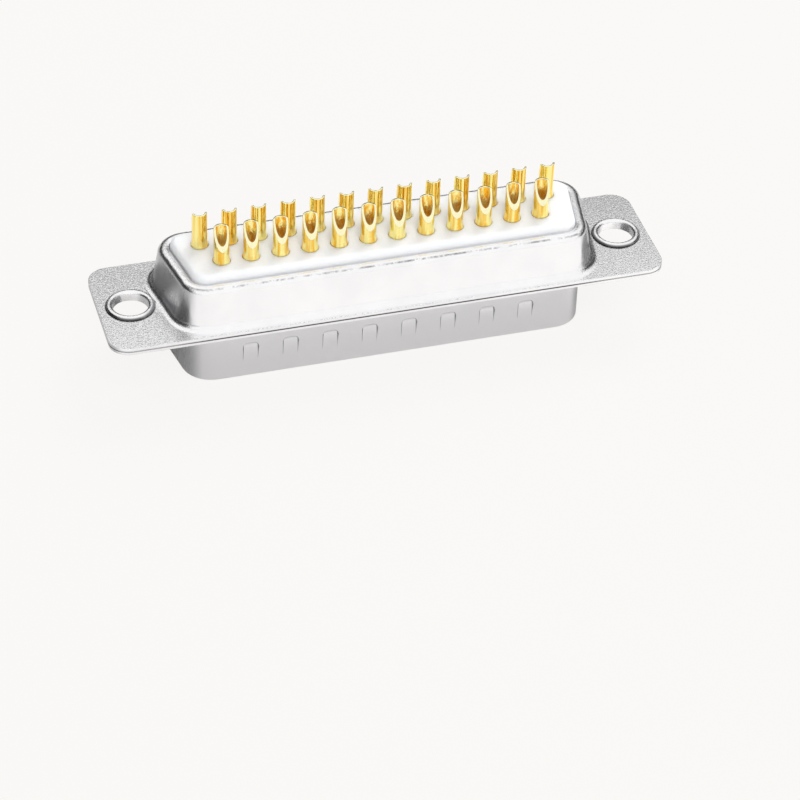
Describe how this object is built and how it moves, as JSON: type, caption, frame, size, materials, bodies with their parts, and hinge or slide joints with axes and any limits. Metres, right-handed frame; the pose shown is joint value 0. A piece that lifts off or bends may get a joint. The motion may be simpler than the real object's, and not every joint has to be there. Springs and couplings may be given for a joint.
{
  "type": "d-sub connector",
  "caption": "D-shaped plug connector with a two-part plated steel shell, a flange with eyelet holes, white insulators, and gold-plated pins that end in solder cups.",
  "frame": {"origin": "midway between the two flange holes, on the face of the flange that meets the panel", "axes": "+Z out of the solder side, -Z out of the mating side, X along the flange, and the narrow side of the D at -Y"},
  "size_m": [0.053, 0.0126, 0.0149],
  "materials": {
    "plated_steel": "drawn steel sheet, nickel plated; satin with a fine grain on the flanges, bright on the drawn walls",
    "white_plastic": "moulded thermoplastic, white, slightly glossy",
    "gold_plating": "turned brass with polished gold plating"
  },
  "bodies": {
    "root": {"front_shell": "plated_steel", "rear_shell": "plated_steel", "front_insulator": "white_plastic", "rear_insulator": "white_plastic", "contact_01": "gold_plating", "contact_02": "gold_plating", "contact_03": "gold_plating", "contact_04": "gold_plating", "contact_05": "gold_plating", "contact_06": "gold_plating", "contact_07": "gold_plating", "contact_08": "gold_plating", "contact_09": "gold_plating", "contact_10": "gold_plating", "contact_11": "gold_plating", "contact_12": "gold_plating", "contact_13": "gold_plating", "contact_14": "gold_plating", "contact_15": "gold_plating", "contact_16": "gold_plating", "contact_17": "gold_plating", "contact_18": "gold_plating", "contact_19": "gold_plating", "contact_20": "gold_plating", "contact_21": "gold_plating", "contact_22": "gold_plating", "contact_23": "gold_plating", "contact_24": "gold_plating", "contact_25": "gold_plating"}
  },
  "joints": []
}
